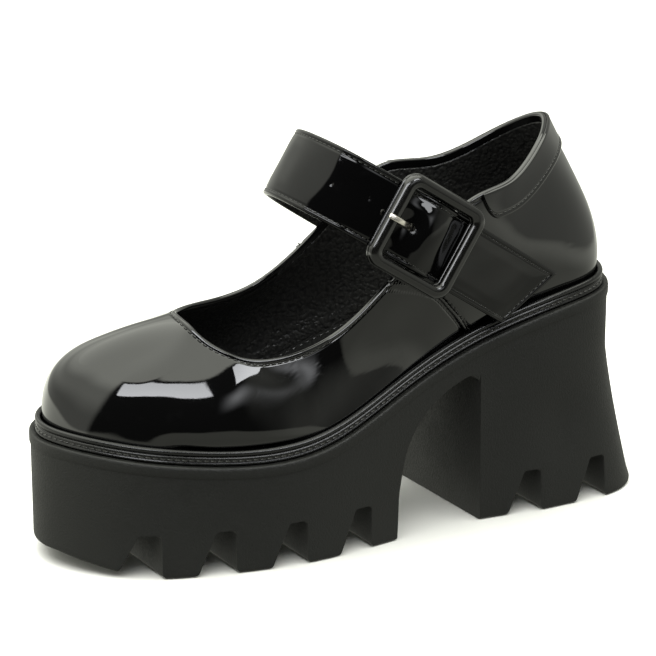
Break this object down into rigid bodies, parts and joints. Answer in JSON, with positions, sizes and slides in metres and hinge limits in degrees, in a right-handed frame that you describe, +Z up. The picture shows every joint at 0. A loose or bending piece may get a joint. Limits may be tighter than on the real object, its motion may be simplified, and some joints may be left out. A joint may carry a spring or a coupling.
{
  "type": "platform shoe",
  "caption": "Chunky platform shoe with a blunt toe, one wide buckled instep strap, a block heel and a lugged moulded sole, for the left foot.",
  "frame": {"origin": "middle of the shoe's box, on the floor", "axes": "+X to the outer side of the foot, +Y from toe to heel, +Z up"},
  "size_m": [0.1072, 0.2658, 0.1684],
  "materials": {
    "moulded_sole": "matt moulded polyurethane with a fine grain",
    "welt_strip": "half-gloss moulded strip",
    "patent_upper": "black patent leather, high gloss",
    "patent_strap": "black patent leather, high gloss",
    "lining_leather": "black grained lining leather",
    "gloss_buckle": "black lacquered frame",
    "bright_steel": "bright plated steel"
  },
  "bodies": {
    "root": {"sole_unit": "moulded_sole", "welt": "welt_strip", "upper": "patent_upper", "collar_band": "patent_upper", "insole": "lining_leather", "strap": "patent_strap", "buckle_frame": "gloss_buckle", "buckle_prong": "bright_steel"}
  },
  "joints": []
}
